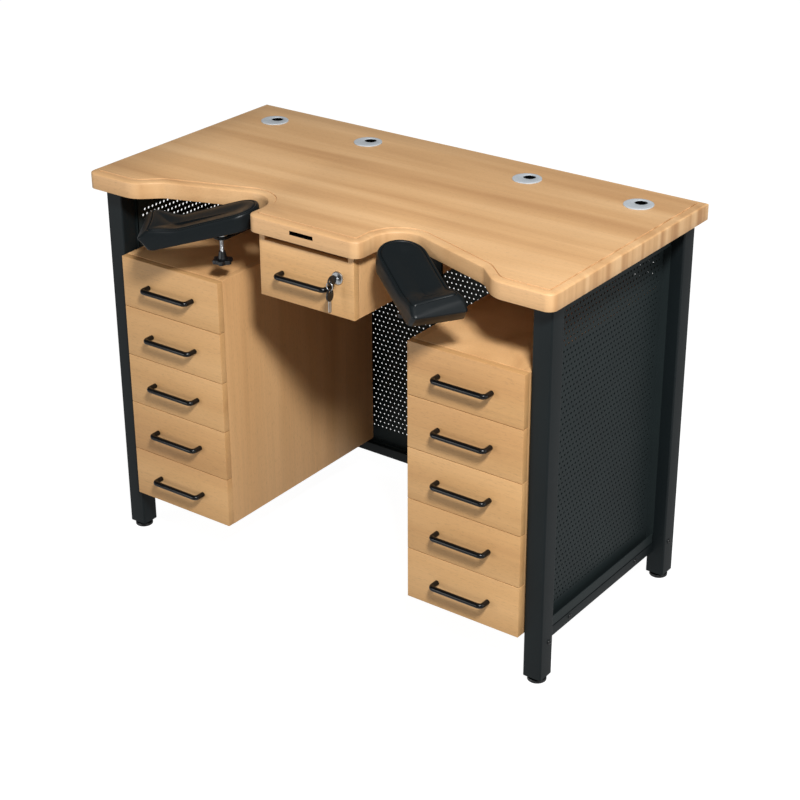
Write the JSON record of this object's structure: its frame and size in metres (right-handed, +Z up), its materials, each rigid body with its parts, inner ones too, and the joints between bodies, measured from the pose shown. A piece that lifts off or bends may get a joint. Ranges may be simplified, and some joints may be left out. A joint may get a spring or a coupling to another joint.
{
  "type": "jewelers bench",
  "caption": "Goldsmith's workbench: scalloped beech top on a steel frame with perforated panels, drawer pedestals, a locking centre drawer and screw-raised armrests",
  "frame": {"origin": "middle of the footprint, on the floor under the feet", "axes": "+X to the seated user's right, +Y to the back panel, +Z up"},
  "size_m": [1.2, 0.7154, 0.9024],
  "materials": {
    "beech": "satin lacquered beech worktop, grain along X",
    "beech_front": "beech decor drawer boards",
    "beech_carcass": "beech decor carcass boards",
    "frame": "satin charcoal powder coat",
    "panel": "satin charcoal powder coat on perforated sheet",
    "handle": "black satin coating",
    "foot": "black moulded foot",
    "grommet": "silver-grey satin",
    "steel": "bright zinc plated",
    "key": "black moulded bow, steel blade",
    "knob": "black moulded star knob",
    "pad": "black moulded soft armrest, fine grain"
  },
  "bodies": {
    "bench": {"bench_top": "beech", "pedestal_left": "beech_carcass", "pedestal_right": "beech_carcass", "centre_housing": "beech_carcass", "grommet_outer_left": "grommet", "grommet_inner_left": "grommet", "grommet_inner_right": "grommet", "grommet_outer_right": "grommet", "leg_front_left": "frame", "leg_back_left": "frame", "leg_front_right": "frame", "leg_back_right": "frame", "bottom_rail_left": "frame", "top_rail_left": "frame", "panel_left": "panel", "bottom_rail_right": "frame", "top_rail_right": "frame", "panel_right": "panel", "bottom_rail_back": "frame", "top_rail_back": "frame", "panel_back": "panel", "armrest_bracket_left": "steel", "armrest_bracket_right": "steel"},
    "body_drawer_left_1": {"drawer_left_1": "beech_front", "handle_left_1": "handle"},
    "body_drawer_left_2": {"drawer_left_2": "beech_front", "handle_left_2": "handle"},
    "body_drawer_left_3": {"drawer_left_3": "beech_front", "handle_left_3": "handle"},
    "body_drawer_left_4": {"drawer_left_4": "beech_front", "handle_left_4": "handle"},
    "body_drawer_left_5": {"drawer_left_5": "beech_front", "handle_left_5": "handle"},
    "body_drawer_right_1": {"drawer_right_1": "beech_front", "handle_right_1": "handle"},
    "body_drawer_right_2": {"drawer_right_2": "beech_front", "handle_right_2": "handle"},
    "body_drawer_right_3": {"drawer_right_3": "beech_front", "handle_right_3": "handle"},
    "body_drawer_right_4": {"drawer_right_4": "beech_front", "handle_right_4": "handle"},
    "body_drawer_right_5": {"drawer_right_5": "beech_front", "handle_right_5": "handle"},
    "body_centre_drawer": {"centre_drawer": "beech_front", "centre_handle": "handle", "lock_cylinder": "steel"},
    "key": {"lock_key": "key"},
    "spare": {"spare_key": "key"},
    "body_foot_front_left": {"foot_front_left": "foot"},
    "body_foot_back_left": {"foot_back_left": "foot"},
    "body_foot_front_right": {"foot_front_right": "foot"},
    "body_foot_back_right": {"foot_back_right": "foot"},
    "armrest_lift_left": {"armrest_collar_left": "steel"},
    "armrest_jack_left": {"armrest_screw_left": "steel", "armrest_knob_left": "knob"},
    "armrest_rest_left": {"armrest_pad_left": "pad"},
    "armrest_lift_right": {"armrest_collar_right": "steel"},
    "armrest_jack_right": {"armrest_screw_right": "steel", "armrest_knob_right": "knob"},
    "armrest_rest_right": {"armrest_pad_right": "pad"}
  },
  "joints": [
    {"name": "drawer_left_1_slide", "type": "slide", "parent": "bench", "child": "body_drawer_left_1", "axis": [0, -1, 0], "range_m": [0, 0.4]},
    {"name": "drawer_left_2_slide", "type": "slide", "parent": "bench", "child": "body_drawer_left_2", "axis": [0, -1, 0], "range_m": [0, 0.4]},
    {"name": "drawer_left_3_slide", "type": "slide", "parent": "bench", "child": "body_drawer_left_3", "axis": [0, -1, 0], "range_m": [0, 0.4]},
    {"name": "drawer_left_4_slide", "type": "slide", "parent": "bench", "child": "body_drawer_left_4", "axis": [0, -1, 0], "range_m": [0, 0.4]},
    {"name": "drawer_left_5_slide", "type": "slide", "parent": "bench", "child": "body_drawer_left_5", "axis": [0, -1, 0], "range_m": [0, 0.4]},
    {"name": "drawer_right_1_slide", "type": "slide", "parent": "bench", "child": "body_drawer_right_1", "axis": [0, -1, 0], "range_m": [0, 0.4]},
    {"name": "drawer_right_2_slide", "type": "slide", "parent": "bench", "child": "body_drawer_right_2", "axis": [0, -1, 0], "range_m": [0, 0.4]},
    {"name": "drawer_right_3_slide", "type": "slide", "parent": "bench", "child": "body_drawer_right_3", "axis": [0, -1, 0], "range_m": [0, 0.4]},
    {"name": "drawer_right_4_slide", "type": "slide", "parent": "bench", "child": "body_drawer_right_4", "axis": [0, -1, 0], "range_m": [0, 0.4]},
    {"name": "drawer_right_5_slide", "type": "slide", "parent": "bench", "child": "body_drawer_right_5", "axis": [0, -1, 0], "range_m": [0, 0.4]},
    {"name": "centre_drawer_slide", "type": "slide", "parent": "bench", "child": "body_centre_drawer", "axis": [0, -1, 0], "range_m": [0, 0.28]},
    {"name": "key_turn", "type": "hinge", "parent": "body_centre_drawer", "child": "key", "pos_m": [0.0825, -0.23964, 0.8045], "axis": [0, -1, 0], "range_deg": [0, 90]},
    {"name": "spare_key_swing", "type": "hinge", "parent": "key", "child": "spare", "pos_m": [0.0825, -0.26724, 0.7942], "axis": [0, -1, 0], "range_deg": [-20, 40]},
    {"name": "foot_front_left_level", "type": "slide", "parent": "bench", "child": "body_foot_front_left", "axis": [0, 0, -1], "range_m": [0, 0.015]},
    {"name": "foot_back_left_level", "type": "slide", "parent": "bench", "child": "body_foot_back_left", "axis": [0, 0, -1], "range_m": [0, 0.015]},
    {"name": "foot_front_right_level", "type": "slide", "parent": "bench", "child": "body_foot_front_right", "axis": [0, 0, -1], "range_m": [0, 0.015]},
    {"name": "foot_back_right_level", "type": "slide", "parent": "bench", "child": "body_foot_back_right", "axis": [0, 0, -1], "range_m": [0, 0.015]},
    {"name": "armrest_left_lift", "type": "slide", "parent": "bench", "child": "armrest_lift_left", "axis": [0, 0, 1], "range_m": [0, 0.012]},
    {"name": "armrest_left_knob", "type": "hinge", "parent": "armrest_lift_left", "child": "armrest_jack_left", "pos_m": [-0.24487, -0.22112, 0.82], "axis": [0, 0, 1], "range_deg": [0, 1500]},
    {"name": "armrest_left_swivel", "type": "hinge", "parent": "armrest_lift_left", "child": "armrest_rest_left", "pos_m": [-0.24487, -0.22112, 0.82], "axis": [0, 0, 1], "range_deg": [-12, 5]},
    {"name": "armrest_right_lift", "type": "slide", "parent": "bench", "child": "armrest_lift_right", "axis": [0, 0, 1], "range_m": [0, 0.012]},
    {"name": "armrest_right_knob", "type": "hinge", "parent": "armrest_lift_right", "child": "armrest_jack_right", "pos_m": [0.24487, -0.22112, 0.82], "axis": [0, 0, 1], "range_deg": [0, 1500]},
    {"name": "armrest_right_swivel", "type": "hinge", "parent": "armrest_lift_right", "child": "armrest_rest_right", "pos_m": [0.24487, -0.22112, 0.82], "axis": [0, 0, 1], "range_deg": [-5, 12]}
  ],
  "couplings": [
    {"joint": "armrest_left_knob", "follows": "armrest_left_lift", "rad_per_m": 2094.4},
    {"joint": "armrest_right_knob", "follows": "armrest_right_lift", "rad_per_m": 2094.4}
  ]
}
